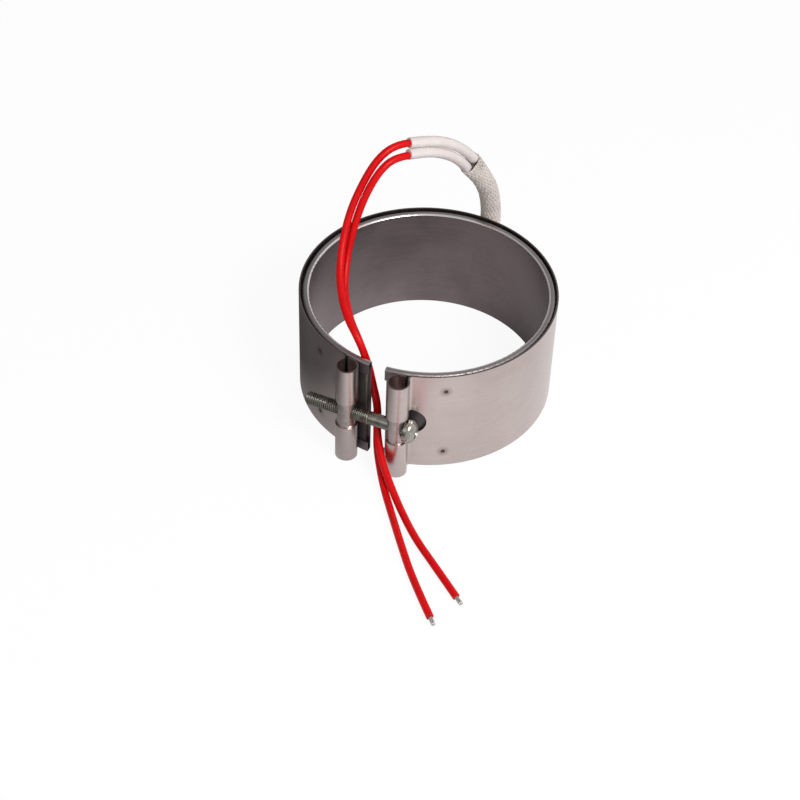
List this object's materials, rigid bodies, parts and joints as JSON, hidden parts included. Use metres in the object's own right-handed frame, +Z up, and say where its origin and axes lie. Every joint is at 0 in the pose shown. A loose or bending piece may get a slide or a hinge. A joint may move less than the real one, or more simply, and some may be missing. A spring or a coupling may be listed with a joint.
{
  "type": "band heater",
  "caption": "Split mica band heater with a one-screw clamping strap, rolled strap loops, and two insulated leads in a braided sleeve.",
  "frame": {"origin": "on the bore axis in the plane of the lower rim, which is the plane it stands on", "axes": "+Z up along the bore axis; the split and the screw face -Y; the screw's head points to +X; the leads leave at the back, at +Y"},
  "size_m": [0.1075, 0.1737, 0.1],
  "materials": {
    "sheath": "matt rolled stainless sheet, grey with a slight purple cast",
    "strap": "satin rolled stainless sheet",
    "mica": "pale brown mica board",
    "ribbon": "bare resistance ribbon",
    "zinc": "zinc plated bar",
    "screw": "bright zinc plated",
    "rivet": "bright steel",
    "lug": "nickel plated brass, dull",
    "sleeve": "braided glass fibre, off-white",
    "tube": "smooth off-white silicone tube",
    "lead": "red silicone insulation, glossy",
    "wire": "tinned strands"
  },
  "bodies": {
    "band": {"inner_sheath": "sheath", "mica_inner": "mica", "mica_core": "mica", "heating_ribbon": "ribbon", "mica_outer": "mica", "outer_cover": "sheath", "clamp_strap": "strap", "threaded_barrel": "zinc", "plain_barrel": "zinc", "lead_cap": "strap", "lead_cap_rivets": "rivet", "terminal_pad": "mica", "terminal_posts": "rivet", "terminal_lug_1": "lug", "terminal_lug_2": "lug", "braided_sleeve": "sleeve", "lead_tube_1": "tube", "lead_tube_2": "tube", "lead_1": "lead", "lead_2": "lead", "bare_end_1": "wire", "bare_end_2": "wire"},
    "clamp_screw": {"clamp_screw": "screw"}
  },
  "joints": [
    {"name": "screw_turn", "type": "hinge", "parent": "band", "child": "clamp_screw", "pos_m": [0, -0.05108, 0.0225], "axis": [1, 0, 0], "continuous": true}
  ]
}
